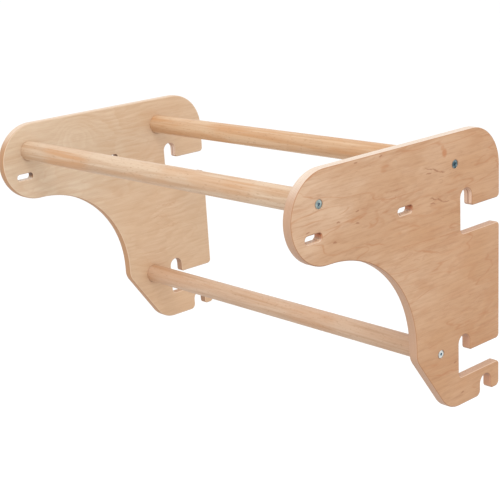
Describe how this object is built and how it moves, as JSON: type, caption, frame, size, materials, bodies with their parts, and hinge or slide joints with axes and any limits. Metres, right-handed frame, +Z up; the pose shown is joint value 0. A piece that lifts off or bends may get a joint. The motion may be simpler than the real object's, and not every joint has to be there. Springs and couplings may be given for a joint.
{
  "type": "swedish wall bars pull-up frame",
  "caption": "Hang-on pull-up frame for gymnastic wall bars: hooked plywood side panels joined by round wooden bars, with strap slots, hung on the rungs without tools.",
  "frame": {"origin": "on the axis of the wall-bar rung under the crowns of the upper hooks, midway between the two side panels", "axes": "+X along the bars to the right-hand panel as seen from the room, +Y to the wall, +Z up"},
  "size_m": [0.855, 0.535, 0.516],
  "materials": {
    "plywood": "clear satin varnish",
    "beech": "clear satin varnish",
    "zinc_plated_steel": "bright zinc plating"
  },
  "bodies": {
    "root": {"left_side_panel": "plywood", "right_side_panel": "plywood", "front_bar": "beech", "front_bar_left_bolt": "zinc_plated_steel", "front_bar_left_sleeve": "zinc_plated_steel", "front_bar_right_bolt": "zinc_plated_steel", "front_bar_right_sleeve": "zinc_plated_steel", "rear_bar": "beech", "rear_bar_left_bolt": "zinc_plated_steel", "rear_bar_left_sleeve": "zinc_plated_steel", "rear_bar_right_bolt": "zinc_plated_steel", "rear_bar_right_sleeve": "zinc_plated_steel", "lower_bar": "beech", "lower_bar_left_bolt": "zinc_plated_steel", "lower_bar_left_sleeve": "zinc_plated_steel", "lower_bar_right_bolt": "zinc_plated_steel", "lower_bar_right_sleeve": "zinc_plated_steel"}
  },
  "joints": []
}
